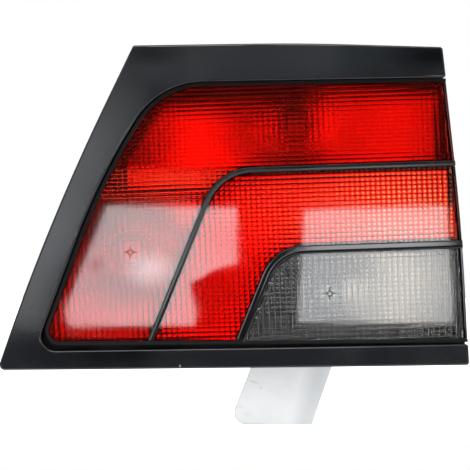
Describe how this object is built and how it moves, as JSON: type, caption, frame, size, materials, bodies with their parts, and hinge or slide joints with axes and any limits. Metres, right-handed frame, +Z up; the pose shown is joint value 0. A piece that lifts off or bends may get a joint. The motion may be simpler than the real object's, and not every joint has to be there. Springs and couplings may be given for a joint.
{
  "type": "tail light cluster",
  "caption": "Car tail lamp with nested red and clear lens panels divided by black ribs in a black bezel, bulb carrier, plug and fixing studs behind.",
  "frame": {"origin": "axis of the upper right stud in the plane where the foam seal meets the boot lid", "axes": "+X to the right seen from behind the car, +Y forward into the car along the studs, +Z up"},
  "size_m": [0.3037, 0.0831, 0.2473],
  "materials": {
    "bezel_black": "gloss black moulding",
    "lens_red": "clear red acrylic, pillow optics inside",
    "lens_clear": "clear acrylic, pillow optics inside",
    "housing_black": "black moulding",
    "carrier_white": "natural white moulding",
    "gasket_rubber": "soft rubber",
    "seal_foam": "closed-cell foam",
    "brass": "tinned brass",
    "plug_black": "black moulding",
    "bracket_white": "white paint",
    "zinc_steel": "zinc plated",
    "reflector_metal": "metallised plastic",
    "reflector_dull": "dulled metallised plastic",
    "tungsten": "drawn wire",
    "bulb_glass": "thin clear glass"
  },
  "bodies": {
    "root": {"bezel": "bezel_black", "bezel_screws": "zinc_steel", "body_seal": "seal_foam", "bracket_screws": "zinc_steel", "bulb_carrier": "carrier_white", "bulb_lower_left": "bulb_glass", "bulb_reversing": "bulb_glass", "bulb_upper": "bulb_glass", "cap_lower_left": "zinc_steel", "cap_reversing": "zinc_steel", "cap_upper": "zinc_steel", "carrier_seal": "gasket_rubber", "connector_pins": "brass", "connector_shroud": "plug_black", "earth_strip": "brass", "filament_lower_left": "tungsten", "filament_reversing": "tungsten", "filament_upper": "tungsten", "fixing_bracket": "bracket_white", "housing": "housing_black", "lens_middle": "lens_red", "lens_outer": "lens_red", "lens_reversing": "lens_clear", "reflector_lower_left": "reflector_dull", "reflector_middle": "reflector_metal", "reflector_reversing": "reflector_dull", "reflector_upper": "reflector_metal", "socket_lower_left": "zinc_steel", "socket_reversing": "zinc_steel", "socket_upper": "zinc_steel", "stud_lower_left": "zinc_steel", "stud_lower_right": "zinc_steel", "stud_upper_right": "zinc_steel"}
  },
  "joints": []
}
